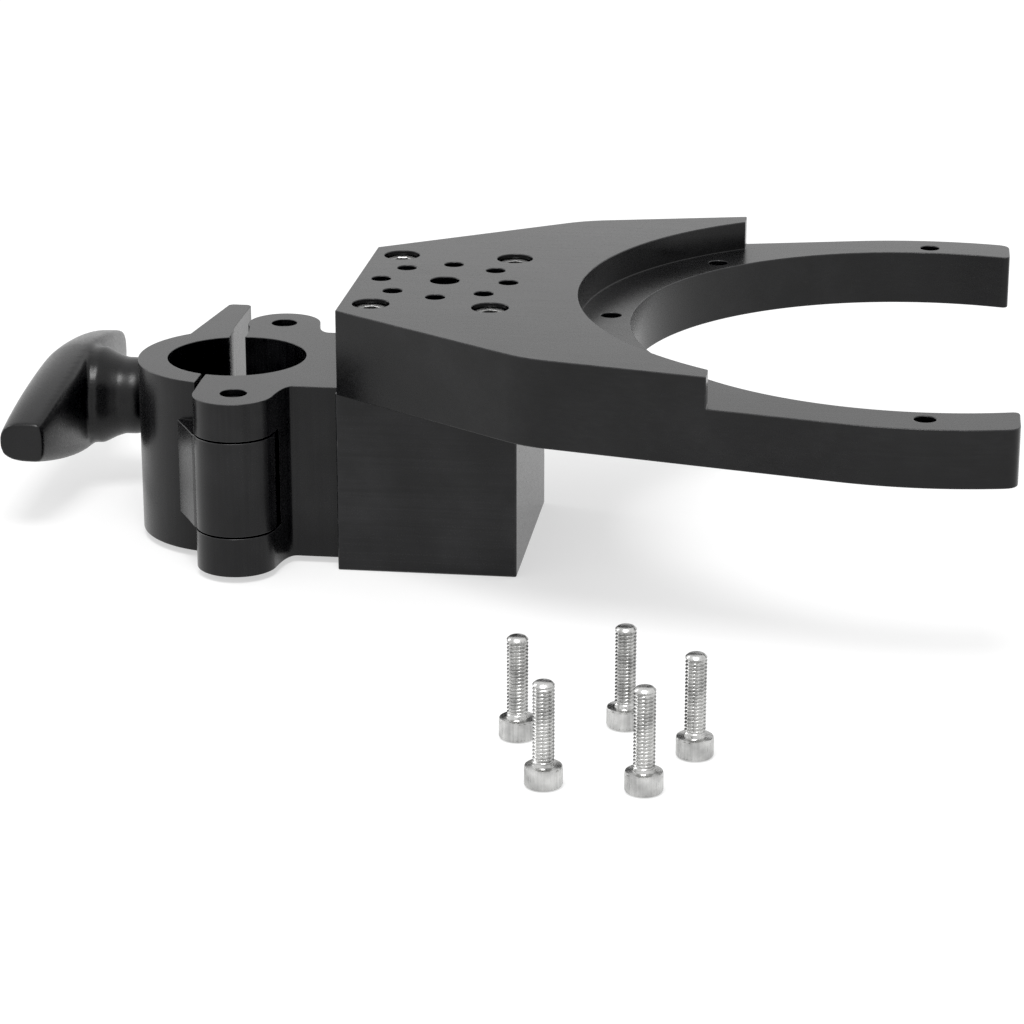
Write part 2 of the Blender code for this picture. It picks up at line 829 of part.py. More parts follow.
handle_insert = cylinder(
    "handle_insert",
    INSERT_R,
    (HUB_X - 0.3 - INSERT_LENGTH, PIVOT_Y, BOLT_Z),
    INSERT_LENGTH,
    "X",
    PARTS,
    24,
)
boolean(
    handle_insert,
    cylinder(
        "insert_hole",
        INSERT_HOLE_R,
        (HUB_X - 30.0, PIVOT_Y, BOLT_Z),
        40.0,
        "X",
        CUTTERS,
    ),
    "DIFFERENCE",
)
settle(handle_insert)
finish(handle_insert, "handle_insert", BRASS)
move_origin(handle_insert, (HUB_X, PIVOT_Y, BOLT_Z))

# Cutters have done their work and stay hidden in their own collection.
for cutter in CUTTERS.objects:
    cutter.hide_render = True
    cutter.display_type = "WIRE"

# Every part hangs from one empty at the resting face, so the bracket moves as one.
root = bpy.data.objects.new("bracket_root", None)
PARTS.objects.link(root)
for part in list(PARTS.objects):
    if part.type == "MESH" and not part.name.startswith("loose_screw"):
        part.parent = root
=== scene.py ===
"""Looks for the hinged pole clamp with a stepped fork plate.

Every piece is rebuilt here with fine edges, real threads and knurling, at the size
and in the place of the solid that it stands for. Lengths are in millimetres
multiplied by MM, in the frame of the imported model.
"""

import json
import math

import bmesh
import bpy
from mathutils import Matrix, Vector

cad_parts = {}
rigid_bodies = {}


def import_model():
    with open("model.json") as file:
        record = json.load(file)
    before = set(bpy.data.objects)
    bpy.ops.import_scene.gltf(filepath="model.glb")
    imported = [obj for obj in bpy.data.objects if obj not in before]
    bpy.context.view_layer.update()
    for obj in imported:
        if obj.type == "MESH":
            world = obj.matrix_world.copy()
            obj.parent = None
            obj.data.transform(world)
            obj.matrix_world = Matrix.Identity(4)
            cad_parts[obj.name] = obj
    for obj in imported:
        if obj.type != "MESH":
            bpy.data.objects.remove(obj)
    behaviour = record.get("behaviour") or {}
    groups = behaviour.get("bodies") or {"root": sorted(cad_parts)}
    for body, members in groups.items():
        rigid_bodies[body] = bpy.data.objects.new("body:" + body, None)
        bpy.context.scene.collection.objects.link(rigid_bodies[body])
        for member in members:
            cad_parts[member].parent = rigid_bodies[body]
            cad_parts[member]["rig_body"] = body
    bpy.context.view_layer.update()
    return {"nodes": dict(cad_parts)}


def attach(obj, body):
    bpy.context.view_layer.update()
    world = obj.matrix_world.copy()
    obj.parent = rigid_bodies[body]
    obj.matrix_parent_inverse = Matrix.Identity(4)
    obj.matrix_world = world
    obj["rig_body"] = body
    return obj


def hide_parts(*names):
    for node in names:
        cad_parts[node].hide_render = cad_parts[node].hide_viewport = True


MM = 0.001

for old in list(bpy.data.objects):
    bpy.data.objects.remove(old, do_unlink=True)

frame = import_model()

# Sizes that the solids share ---------------------------------------------------------
PLATE_BOTTOM, PLATE_TOP, LEDGE_Z = 39.4, 57.6, 51.2
PLATE_LEFT_X, PLATE_LEFT_HALF = -18.9, 26.9
PLATE_EDGE_SLOPE, PLATE_SIDE_SLOPE, PLATE_BEND_R = 0.703, 0.235, 25.0
STEP_X, FORK_X, FORK_INNER_R, FORK_OUTER_R = 60.5, 102.5, 62.3, 73.5
FORK_TIP_X, TIP_ROUND_R = 120.6, 2.6
RING_HOLE_R, RING_HOLE_DIA = 66.8, 4.3
RING_HOLE_ANGLES = (90.0, 135.0, 180.0, 225.0, 270.0)
BOLT_CIRCLE_R, BOLT_HOLE_DIA, CENTRE_HOLE_DIA = 13.7, 4.2, 6.3
BLOCK_X0, BLOCK_X1, BLOCK_HALF_Y, BLOCK_TOP = -19.6, 18.6, 24.9, 39.1
PLATE_SCREW_X, PLATE_SCREW_Y = 12.5, 20.5
M4_HEAD_R, M4_HEAD_H, M4_R, M4_HEX, M4_PITCH = 3.5, 4.0, 2.0, 3.0, 0.7
COUNTERBORE_R, COUNTERBORE_FLOOR, SEAT_GAP, M4_HOLE_R = 3.9, 52.4, 0.3, 2.35
LOOSE_POSITIONS = (
    (37.1, -132.1),
    (55.2, -132.4),
    (63.0, -115.2),
    (29.7, -110.5),
    (49.0, -102.7),
)
CLAMP_Z0, CLAMP_Z1, BORE_X, BORE_R, RING_R = 1.4, 39.2, -45.6, 15.0, 21.4
BODY_SPLIT_X, BODY_FAR_SPLIT_X, JAW_SPLIT_X = -49.4, -47.0, -50.4
NECK_HALF, NECK_X1, NECK_FILLET_X = 21.0, -19.9, -29.0
PIVOT_X, PIVOT_Y, HINGE_BOSS_R, BOLT_BOSS_R = -40.6, 27.6, 8.6, 8.1
PIN_R, PIN_HOLE_R, PIN_RECESS = 2.5, 2.85, 1.2
KNUCKLE_Z0, KNUCKLE_Z1, KNUCKLE_GAP = 10.2, 30.7, 0.35
BOLT_Z, EYE_R, EYE_HALF, EYE_SLOT_HALF = 20.9, 7.0, 3.6, 3.9
BOLT_R, BOLT_END_X, BOLT_PITCH = 3.0, -80.1, 1.0
LUG_INNER_X, LUG_OUTER_X, LUG_TIP_X, LUG_TIP_Y = -51.0, -59.6, -56.2, 41.8
LUG_SEAT_X, LUG_SEAT_HALF, LUG_SLOT_Y, LUG_SLOT_HALF = -57.9, 7.4, 22.6, 3.5
BODY_SCREW_Z = (11.0, 31.0)
M5_HEAD_R, M5_HEAD_H, M5_R, M5_HEX, M5_PITCH = 4.25, 5.0, 2.5, 4.0, 0.8
BODY_SCREW_SEAT_X = -25.6
WASHER_X, WASHER_T, WASHER_R, WASHER_HOLE_R = -70.1, 1.6, 6.25, 3.35
HUB_X, HUB_END_R, HUB_R, HUB_BACK_X, HUB_DEPTH = -72.0, 7.4, 8.7, -86.0, 20.4
INSERT_R, INSERT_HOLE_R, INSERT_LENGTH = 4.8, 3.35, 12.0
BAR_HALF, BAR_HALF_Z, BAR_TIP_HALF_Z = 38.4, 11.8, 4.2
BAR_INNER_X, BAR_TIP_INNER_X, BAR_DEPTH, BAR_TIP_DEPTH = -84.0, -86.9, 14.0, 9.5


# Materials -----------------------------------------------------------------------------
class Nodes:
    """A small wrapper that keeps the node set-ups below readable."""

    def __init__(self, name):
        self.material = bpy.data.materials.new(name)
        self.material.use_nodes = True
        self.tree = self.material.node_tree
        self.shader = self.tree.nodes["Principled BSDF"]
        self.where = self.add("ShaderNodeTexCoord").outputs["Object"]

    def add(self, kind, **settings):
        node = self.tree.nodes.new(kind)
        for key, value in settings.items():
            setattr(node, key, value)
        return node

    def link(self, source, target):
        self.tree.links.new(source, target)

    def stretched(self, scale):
        node = self.add("ShaderNodeMapping")
        node.inputs["Scale"].default_value = scale
        self.link(self.where, node.inputs["Vector"])
        return node.outputs["Vector"]

    def noise(self, scale, detail=3.0, roughness=0.55, stretch=None):
        node = self.add("ShaderNodeTexNoise")
        node.inputs["Scale"].default_value = scale
        node.inputs["Detail"].default_value = detail
        node.inputs["Roughness"].default_value = roughness
        self.link(self.stretched(stretch) if stretch else self.where, node.inputs["Vector"])
        return node.outputs["Fac"]

    def spread(self, value, low, high, from_low=0.3, from_high=0.7):
        node = self.add("ShaderNodeMapRange")
        node.inputs["From Min"].default_value = from_low
        node.inputs["From Max"].default_value = from_high
        node.inputs["To Min"].default_value = low
        node.inputs["To Max"].default_value = high
        self.link(value, node.inputs["Value"])
        return node.outputs["Result"]

    def ramp(self, value, *stops):
        node = self.add("ShaderNodeValToRGB")
        ramp = node.color_ramp
        while len(ramp.elements) < len(stops):
            ramp.elements.new(0.5)
        for element, (place, colour) in zip(ramp.elements, stops):
            element.position = place
            element.color = (*colour, 1.0)
        self.link(value, node.inputs["Fac"])
        return node.outputs["Color"]

    def plus(self, a, b, share=1.0):
        node = self.add("ShaderNodeMath", operation="MULTIPLY_ADD")
        self.link(b, node.inputs[0])
        node.inputs[1].default_value = share
        self.link(a, node.inputs[2])
        return node.outputs["Value"]

    def bump(self, height, strength, distance):
        node = self.add("ShaderNodeBump")
        node.inputs["Strength"].default_value = strength
        node.inputs["Distance"].default_value = distance
        self.link(height, node.inputs["Height"])
        self.link(node.outputs["Normal"], self.shader.inputs["Normal"])

    def set(self, **values):
        for key, value in values.items():
            self.shader.inputs[key.replace("_", " ")].default_value = value


def anodised(name, streak, level=1.0, rough=(0.20, 0.30)):
    """Black anodised aluminium: a blasted grain, faint clouds of dye, and tool streaks along one direction."""
    n = Nodes(name)
    clouds = n.noise(55.0, 4.0, 0.6)
    grain = n.noise(2600.0, 2.0, 0.5)
    lines = n.noise(1500.0, 3.0, 0.6, streak)
    n.link(
        n.ramp(
            n.plus(clouds, lines, 0.35),
            (0.42, tuple(c * level for c in (0.0025, 0.0025, 0.0027))),
            (0.66, tuple(c * level for c in (0.0050, 0.0050, 0.0053))),
            (0.88, tuple(c * level for c in (0.0085, 0.0085, 0.0090))),
        ),
        n.shader.inputs["Base Color"],
    )
    n.link(
        n.spread(n.plus(grain, lines, 0.6), rough[0], rough[1], 0.5, 1.1),
        n.shader.inputs["Roughness"],
    )
    n.bump(n.plus(grain, lines, 0.8), 0.22, 0.00003)
    n.set(IOR=1.34, Metallic=0.0)
    return n.material


def edge_highlight_finish(name):
    """Bevelled corners of an anodised part, lighter in colour as a painted highlight of the light the edges catch,
    with a smoother surface, and not by the same amount everywhere.
    """
    n = Nodes(name)
    highlight_amount = n.noise(420.0, 4.0, 0.65)
    # The lighter ramp colours are a painted highlight along the edges.
    n.link(
        n.ramp(
            highlight_amount,
            (0.35, (0.008, 0.008, 0.0085)),
            (0.62, (0.020, 0.020, 0.021)),
            (0.80, (0.055, 0.054, 0.054)),
        ),
        n.shader.inputs["Base Color"],
    )
    n.link(n.spread(highlight_amount, 0.34, 0.24), n.shader.inputs["Roughness"])
    n.bump(n.noise(1900.0, 2.0), 0.15, 0.00002)
    n.set(IOR=1.38, Metallic=0.0)
    return n.material


def moulded(name):
    """Black thermoplastic with a fine spark-eroded texture."""
    n = Nodes(name)
    texture = n.noise(1700.0, 3.0, 0.6)
    flow = n.noise(70.0, 3.0, 0.5)
    n.link(
        n.ramp(flow, (0.35, (0.0035, 0.0035, 0.0038)), (0.70, (0.0075, 0.0075, 0.0080))),
        n.shader.inputs["Base Color"],
    )
    n.link(n.spread(n.plus(texture, flow, 0.4), 0.24, 0.36, 0.5, 0.9), n.shader.inputs["Roughness"])
    n.bump(texture, 0.22, 0.00004)
    n.set(IOR=1.36, Metallic=0.0)
    return n.material


def bright_steel(name, streak, dark, light, rough):
    """Stainless steel with fine drawn or turned lines and a slight unevenness in its polish."""
    n = Nodes(name)
    lines = n.noise(2200.0, 3.0, 0.6, streak)
    patches = n.noise(260.0, 3.0, 0.5)
    n.link(
        n.ramp(n.plus(patches, lines, 0.4), (0.50, dark), (0.90, light)),
        n.shader.inputs["Base Color"],
    )
    n.link(
        n.spread(n.plus(lines, patches, 0.5), rough[0], rough[1], 0.5, 0.95),
        n.shader.inputs["Roughness"],
    )
    n.bump(lines, 0.12, 0.00002)
    n.set(Metallic=1.0)
    return n.material


ALONG_Z = (1.0, 1.0, 0.02)
ALONG_X = (0.02, 1.0, 1.0)
ALONG_Y = (1.0, 0.02, 1.0)

PLATE_LOOK = anodised("plate_anodised", ALONG_X)
BLOCK_LOOK = anodised("block_anodised", ALONG_X, 1.9)
CLAMP_LOOK = anodised("clamp_anodised", ALONG_Z, 1.15)
# Bevel faces get a lighter colour: a painted highlight along the edges.
PAINTED_EDGE_HIGHLIGHT_LOOK = edge_highlight_finish("anodised_edge_painted_highlight")
PLASTIC_LOOK = moulded("moulded_plastic")
SCREW_LOOK = bright_steel("stainless_screw", ALONG_Z, (0.34, 0.34, 0.335), (0.62, 0.62, 0.61), (0.18, 0.30))
# A darker copy of the same stainless for the screws sunk in the counterbores: painted shade.
SHADED_SUNK_SCREW_LOOK = bright_steel("stainless_sunk_screw_painted_shade", ALONG_Z, (0.16, 0.16, 0.16), (0.36, 0.36, 0.355), (0.26, 0.38))
WASHER_LOOK = bright_steel("stainless_washer", ALONG_Y, (0.45, 0.45, 0.44), (0.70, 0.70, 0.69), (0.20, 0.36))
DARK_LOOK = bright_steel("blackened_steel", ALONG_Z, (0.030, 0.030, 0.032), (0.085, 0.085, 0.090), (0.30, 0.44))
BOLT_LOOK = bright_steel("blackened_bolt", ALONG_X, (0.035, 0.035, 0.037), (0.100, 0.100, 0.105), (0.28, 0.42))
BRASS_LOOK = bright_steel("turned_brass", ALONG_Y, (0.46, 0.32, 0.12), (0.74, 0.56, 0.27), (0.24, 0.38))


# Modelling tools ------------------------------------------------------------------------
def new_object(name, mesh):
    made = bpy.data.objects.new(name, mesh)
    bpy.context.scene.collection.objects.link(made)
    return made


def from_bmesh(name, work):
    mesh = bpy.data.meshes.new(name)
    bmesh.ops.recalc_face_normals(work, faces=work.faces)
    work.to_mesh(mesh)
    work.free()
    return new_object(name, mesh)


def prism(name, points, z0, z1):
    """A flat outline in millimetres, as a solid from z0 to z1."""
    work = bmesh.new()
    low = [work.verts.new((x * MM, y * MM, z0 * MM)) for x, y in points]
    high = [work.verts.new((x * MM, y * MM, z1 * MM)) for x, y in points]
    count = len(points)
    work.faces.new(low[::-1])
    work.faces.new(high)
    for i in range(count):
        j = (i + 1) % count
        work.faces.new((low[i], low[j], high[j], high[i]))
    return from_bmesh(name, work)


AXES = {
    "X": Matrix.Rotation(math.pi / 2, 4, "Y"),
    "Z": Matrix.Identity(4),
}


def lathe(name, profile, origin, axis, sides=64):
    """Radius and height pairs spun about an axis, closed on the axis at both ends."""
    work = bmesh.new()
    rings = []
    for radius, height in profile:
        if radius == 0.0:
            rings.append([work.verts.new((0.0, 0.0, height * MM))])
            continue
        rings.append(
            [
                work.verts.new(
                    (
                        radius * math.cos(2 * math.pi * k / sides) * MM,
                        radius * math.sin(2 * math.pi * k / sides) * MM,
                        height * MM,
                    )
                )
                for k in range(sides)
            ]
        )
    join_rings(work, rings)
    work.transform(AXES[axis])
    bmesh.ops.translate(work, verts=work.verts, vec=Vector(origin) * MM)
    return from_bmesh(name, work)


def join_rings(work, rings):
    for a, b in zip(rings[:-1], rings[1:]):
        count = max(len(a), len(b))
        for k in range(count):
            n = (k + 1) % count
            if len(a) == 1:
                work.faces.new((a[0], b[n], b[k]))
            elif len(b) == 1:
                work.faces.new((a[k], a[n], b[0]))
            else:
                work.faces.new((a[k], a[n], b[n], b[k]))


def rod(name, radius, start, length, axis, sides=64):
    return lathe(name, [(0.0, 0.0), (radius, 0.0), (radius, length), (0.0, length)], start, axis, sides)


def brick(name, low, high):
    work = bmesh.new()
    bmesh.ops.create_cube(work, size=1.0)
    size = Vector([(b - a) * MM for a, b in zip(low, high)])
    middle = Vector([(a + b) / 2 * MM for a, b in zip(low, high)])
    bmesh.ops.scale(work, verts=work.verts, vec=size)
    bmesh.ops.translate(work, verts=work.verts, vec=middle)
    return from_bmesh(name, work)


def settle(obj):
    bpy.context.view_layer.update()
    graph = bpy.context.evaluated_depsgraph_get()
    mesh = bpy.data.meshes.new_from_object(obj.evaluated_get(graph))
    obj.modifiers.clear()
    obj.data = mesh


def combine(obj, others, operation="DIFFERENCE"):
    """Cuts the others out of obj, or joins them to it, and removes them."""
    for other in others:
        step = obj.modifiers.new(other.name, "BOOLEAN")
        step.operation = operation
        step.solver = "EXACT"
        step.object = other
    settle(obj)
    for other in others:
        bpy.data.objects.remove(other, do_unlink=True)
    work = bmesh.new()
    work.from_mesh(obj.data)
    bmesh.ops.remove_doubles(work, verts=work.verts, dist=0.000004)
    bmesh.ops.dissolve_degenerate(work, edges=work.edges, dist=0.000002)
    work.to_mesh(obj.data)
    work.free()


def keep_highlight_off_inner_corners(obj):
    """Only outer corners get the painted edge highlight, so the small fillets in inner corners take the plain finish.
    """
    work = bmesh.new()
    work.from_mesh(obj.data)
    work.normal_update()
    for face in work.faces:
        if face.material_index != 1:
            continue
        turn = sum(edge.calc_face_angle_signed(0.0) for edge in face.edges if edge.is_manifold)
        if turn < 0.0:
            face.material_index = 0
    work.to_mesh(obj.data)
    work.free()


def soften(obj, width, look, edge=None, segments=3, angle=32.0):
    """Breaks the sharp edges, shades the piece smooth, and keeps its flat faces flat."""
    obj.data.materials.clear()
    obj.data.materials.append(look)
    obj.data.materials.append(edge or look)
    obj.data.polygons.foreach_set("material_index", [0] * len(obj.data.polygons))
    bevel = obj.modifiers.new("edges", "BEVEL")
    bevel.width = width * MM
    bevel.segments = segments
    bevel.limit_method = "ANGLE"
    bevel.angle_limit = math.radians(angle)
    bevel.use_clamp_overlap = False
    bevel.loop_slide = True
    bevel.miter_outer = "MITER_ARC"
    # The bevel faces take slot 1, the edge look with its painted highlight.
    bevel.material = 1
    settle(obj)
    keep_highlight_off_inner_corners(obj)
    obj.data.shade_smooth()
    weighted = obj.modifiers.new("normals", "WEIGHTED_NORMAL")
    weighted.weight = 80
    weighted.keep_sharp = True
    settle(obj)
    if edge is None:
        obj.data.materials.pop(index=1)


def dress(obj, look, angle=40.0):
    obj.data.materials.clear()
    obj.data.materials.append(look)
    obj.data.shade_smooth()
    obj.data.set_sharp_from_angle(angle=math.radians(angle))


def stand_for(obj, node, name=None):
    """The piece replaces that CAD node and rides on its body."""
    obj.name = name or node + "_fine"
    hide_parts(node)
    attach(obj, frame["nodes"][node]["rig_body"])


def arc(centre, radius, start, end, count):
    return [
        (
            centre[0] + radius * math.cos(math.radians(start + (end - start) * i / count)),
            centre[1] + radius * math.sin(math.radians(start + (end - start) * i / count)),
        )
        for i in range(count + 1)
    ]


def rounded(corners, radii, steps=16):
    made = []
    count = len(corners)
    for i in range(count):
        corner, radius = Vector(corners[i]), radii[i]
        if radius <= 0:
            made.append(tuple(corner))
            continue
        before = (Vector(corners[i - 1]) - corner).normalized()
        after = (Vector(corners[(i + 1) % count]) - corner).normalized()
        half = math.acos(max(-1.0, min(1.0, before.dot(after)))) / 2
        reach = radius / math.tan(half)
        centre = corner + (before + after).normalized() * (radius / math.sin(half))
        first, last = corner + before * reach - centre, corner + after * reach - centre
        sweep = first.angle_signed(last)
        for k in range(steps + 1):
            made.append(tuple(centre + Matrix.Rotation(-sweep * k / steps, 2) @ first))
    return made


# Fork plate ------------------------------------------------------------------------------
def fork_outline():
    lean = math.atan(PLATE_SIDE_SLOPE)
    touch = (FORK_X - FORK_OUTER_R * math.sin(lean), -FORK_OUTER_R * math.cos(lean))
    edge_y = -PLATE_LEFT_HALF - PLATE_EDGE_SLOPE * (0.0 - PLATE_LEFT_X)
    side_y = touch[1] + PLATE_SIDE_SLOPE * touch[0]
    bend_x = (edge_y - side_y) / (PLATE_EDGE_SLOPE - PLATE_SIDE_SLOPE)
    near = rounded(
        [
            (PLATE_LEFT_X, -PLATE_LEFT_HALF),
            (bend_x, edge_y - PLATE_EDGE_SLOPE * bend_x),
            touch,
        ],
        [0, PLATE_BEND_R, 0],
    )[:-1]
    tip_outer = math.degrees(math.acos((FORK_TIP_X - FORK_X) / FORK_OUTER_R))
    tip_inner = math.degrees(math.acos((FORK_TIP_X - FORK_X) / FORK_INNER_R))
    start = 90.0 + math.degrees(lean)
    outer_stop = -tip_outer - math.degrees(TIP_ROUND_R / FORK_OUTER_R)
    inner_start = 360.0 - tip_inner - math.degrees(1.9 / FORK_INNER_R)
    outer = arc((FORK_X, 0.0), FORK_OUTER_R, -start, outer_stop, 44)
    inner = arc((FORK_X, 0.0), FORK_INNER_R, inner_start, 180.0, 84)
    a, b = Vector(outer[-1]), Vector(inner[0])
    first = Vector((FORK_TIP_X, -FORK_OUTER_R * math.sin(math.radians(tip_outer))))
    second = Vector((FORK_TIP_X, -FORK_INNER_R * math.sin(math.radians(tip_inner))))
    tip = []
    for corner, before, after in (
        (first, a, first + Vector((0.0, TIP_ROUND_R))),
        (second, second - Vector((0.0, 1.9)), b),
    ):
        for k in range(7):
            t = k / 6
            tip.append(tuple(before * (1 - t) ** 2 + corner * 2 * t * (1 - t) + after * t**2))
    half = near + outer[:-1] + tip + inner[1:]
    return half + [(x, -y) for x, y in reversed(half[:-1])]


def hole(name, x, y, diameter, z0=30.0, z1=70.0, sides=40):
    return rod(name, diameter / 2, (x, y, z0), z1 - z0, "Z", sides)


fork = prism("fork_plate_fine", fork_outline(), PLATE_BOTTOM, PLATE_TOP)
step_angle = math.degrees(math.acos((STEP_X - FORK_X) / FORK_OUTER_R))
recess = prism(
    "recess_cut",
    arc((FORK_X, 0.0), FORK_OUTER_R, step_angle, 360.0 - step_angle, 110)
    + [(STEP_X, -90.0), (150.0, -90.0), (150.0, 90.0), (STEP_X, 90.0)],
    LEDGE_Z,
    PLATE_TOP + 10.0,
)
cutters = [recess, hole("centre_hole", 0.0, 0.0, CENTRE_HOLE_DIA, sides=48)]
for i in range(8):
    turn = 2 * math.pi * i / 8
    cutters.append(
        hole(f"bolt_hole_{i}", BOLT_CIRCLE_R * math.cos(turn), BOLT_CIRCLE_R * math.sin(turn), BOLT_HOLE_DIA)
    )
for turn in RING_HOLE_ANGLES:
    a = math.radians(turn)
    cutters.append(
        hole(f"ring_hole_{turn:.0f}", FORK_X + RING_HOLE_R * math.cos(a), RING_HOLE_R * math.sin(a), RING_HOLE_DIA)
    )
screw_spots = [
    (sx * PLATE_SCREW_X, sy * PLATE_SCREW_Y) for sy in (-1, 1) for sx in (-1, 1)
]
for i, (x, y) in enumerate(screw_spots):
    cutters.append(
        lathe(
            f"counterbore_{i}",
            [
                (0.0, 30.0),
                (M4_HOLE_R, 30.0),
                (M4_HOLE_R, COUNTERBORE_FLOOR),
                (COUNTERBORE_R, COUNTERBORE_FLOOR),
                (COUNTERBORE_R, 70.0),
                (0.0, 70.0),
            ],
            (x, y, 0.0),
            "Z",
            48,
        )
    )
combine(fork, cutters)
soften(fork, 0.22, PLATE_LOOK, PAINTED_EDGE_HIGHLIGHT_LOOK)
stand_for(fork, "fork_plate")

# Riser block -----------------------------------------------------------------------------
block = brick("riser_block_fine", (BLOCK_X0, -BLOCK_HALF_Y, 0.0), (BLOCK_X1, BLOCK_HALF_Y, BLOCK_TOP))
cutters = [
    hole(f"block_thread_{i}", x, y, 2 * M4_HOLE_R, 25.7, 50.0) for i, (x, y) in enumerate(screw_spots)
] + [
    rod(f"side_thread_{i}", M5_R + 0.35, (-24.6, 0.0, z), 20.5, "X", 40)
    for i, z in enumerate(BODY_SCREW_Z)
]
combine(block, cutters)
soften(block, 0.40, BLOCK_LOOK, PAINTED_EDGE_HIGHLIGHT_LOOK)
stand_for(block, "riser_block")


# Clamp body --------------------------------------------------------------------------------
def boss_side(split_x, boss_r, start, sign):
    side = [(split_x, sign * 19.0)]
    side += [(x, sign * y) for x, y in arc((PIVOT_X, PIVOT_Y), boss_r, start, 12.0, 56)]
    corner = Vector((NECK_FILLET_X, sign * NECK_HALF))
    last = Vector(side[-1])
    control = Vector((last.x + 0.9, sign * NECK_HALF))
    for k in range(1, 14):
        t = k / 14
        side.append(tuple(last * (1 - t) ** 2 + control * 2 * t * (1 - t) + corner * t**2))
    return side + [tuple(corner), (NECK_X1, sign * NECK_HALF)]


near_split = math.degrees(math.acos((BORE_X - BODY_SPLIT_X) / BORE_R))
far_split = math.degrees(math.acos((BORE_X - BODY_FAR_SPLIT_X) / BORE_R))
body_outline = (
    arc((BORE_X, 0.0), BORE_R, near_split - 180.0, 180.0 - far_split, 90)
    + boss_side(BODY_FAR_SPLIT_X, BOLT_BOSS_R, 208.0, 1)
    + boss_side(BODY_SPLIT_X, HINGE_BOSS_R, 184.0, -1)[::-1]
)
body = prism("clamp_body_fine", body_outline, CLAMP_Z0, CLAMP_Z1)
low, high = KNUCKLE_Z0 - KNUCKLE_GAP, KNUCKLE_Z1 + KNUCKLE_GAP
cutters = [
    rod("knuckle_room", HINGE_BOSS_R + 0.6, (PIVOT_X, -PIVOT_Y, low), high - low, "Z", 96),
    brick("link_room", (-62.0, -40.0, low), (-45.4, -19.6, high)),
    brick("eye_slot", (-62.0, 19.8, BOLT_Z - EYE_SLOT_HALF), (-28.4, 42.0, BOLT_Z + EYE_SLOT_HALF)),
    rod("pin_hole_near", PIN_HOLE_R, (PIVOT_X, -PIVOT_Y, -5.0), 55.0, "Z", 48),
    rod("pin_hole_far", PIN_HOLE_R, (PIVOT_X, PIVOT_Y, -5.0), 55.0, "Z", 48),
]
for i, z in enumerate(BODY_SCREW_Z):
    cutters.append(
        lathe(
            f"neck_bore_{i}",
            [
                (0.0, -14.0),
                (M5_HEAD_R + 0.35, -14.0),
                (M5_HEAD_R + 0.35, 0.3),
                (M5_R + 0.35, 0.3),
                (M5_R + 0.35, 12.0),
                (0.0, 12.0),
            ],
            (BODY_SCREW_SEAT_X, 0.0, z),
            "X",
            48,
        )
    )
combine(body, cutters)
soften(body, 0.16, CLAMP_LOOK, PAINTED_EDGE_HIGHLIGHT_LOOK)
stand_for(body, "clamp_body")

# Clamp jaw -----------------------------------------------------------------------------------
split = math.degrees(math.acos((BORE_X - JAW_SPLIT_X) / BORE_R))
ring_split = math.degrees(math.acos((BORE_X - JAW_SPLIT_X) / RING_R))
lug_y = math.sqrt(RING_R**2 - (BORE_X - LUG_OUTER_X) ** 2)
lug_angle = math.degrees(math.atan2(lug_y, LUG_OUTER_X - BORE_X))
jaw_outline = (
    arc((BORE_X, 0.0), BORE_R, 180.0 - split, 180.0 + split, 80)
    + arc((BORE_X, 0.0), RING_R, 180.0 + ring_split, lug_angle, 90)
    + [
        (LUG_TIP_X, LUG_TIP_Y - 0.6),
        (LUG_TIP_X + 0.8, LUG_TIP_Y),
        (LUG_INNER_X - 0.8, LUG_TIP_Y),
        (LUG_INNER_X, LUG_TIP_Y - 0.8),
        (LUG_INNER_X, 22.5),
        (JAW_SPLIT_X, 19.0),
    ]
)
jaw = prism("clamp_jaw_fine", jaw_outline, CLAMP_Z0, CLAMP_Z1)
link = prism(
    "knuckle_link",
    [
        (-46.6, -32.4),
        (-49.2, -30.2),
        (-51.6, -25.6),
        (-54.4, -20.6),
        (-52.4, -16.5),
        (-50.4, -16.5),
        (-50.4, -20.0),
        (-46.6, -21.9),
    ],
    KNUCKLE_Z0,
    KNUCKLE_Z1,
)
knuckle = rod("knuckle", HINGE_BOSS_R, (PIVOT_X, -PIVOT_Y, KNUCKLE_Z0), KNUCKLE_Z1 - KNUCKLE_Z0, "Z", 96)
combine(link, [knuckle], "UNION")
combine(jaw, [link], "UNION")
combine(
    jaw,
    [
        rod("jaw_pin_hole", PIN_HOLE_R, (PIVOT_X, -PIVOT_Y, -5.0), 55.0, "Z", 48),
        brick("lug_slot", (-64.0, LUG_SLOT_Y, BOLT_Z - LUG_SLOT_HALF), (-46.0, 50.0, BOLT_Z + LUG_SLOT_HALF)),
        brick("washer_seat", (-66.0, 20.6, BOLT_Z - LUG_SEAT_HALF), (LUG_SEAT_X, 50.0, BOLT_Z + LUG_SEAT_HALF)),
    ],
)
soften(jaw, 0.16, CLAMP_LOOK, PAINTED_EDGE_HIGHLIGHT_LOOK)
stand_for(jaw, "clamp_jaw")

# Pins, with a turned chamfer and a centre mark at each end -----------------------------------
for node, y in (("hinge_pin", -PIVOT_Y), ("swing_bolt_pin", PIVOT_Y)):
    bottom, top = CLAMP_Z0 + PIN_RECESS, CLAMP_Z1 - PIN_RECESS
    pin = lathe(
        node,
        [
            (0.0, bottom + 0.5),
            (0.55, bottom),
            (PIN_R - 0.45, bottom),
            (PIN_R - 0.08, bottom + 0.32),
            (PIN_R, bottom + 0.5),
            (PIN_R, top - 0.5),
            (PIN_R - 0.08, top - 0.32),
            (PIN_R - 0.45, top),
            (0.55, top),
            (0.0, top - 0.5),
        ],
        (PIVOT_X, y, 0.0),
        "Z",
        56,
    )
    dress(pin, DARK_LOOK)
    stand_for(pin, node)


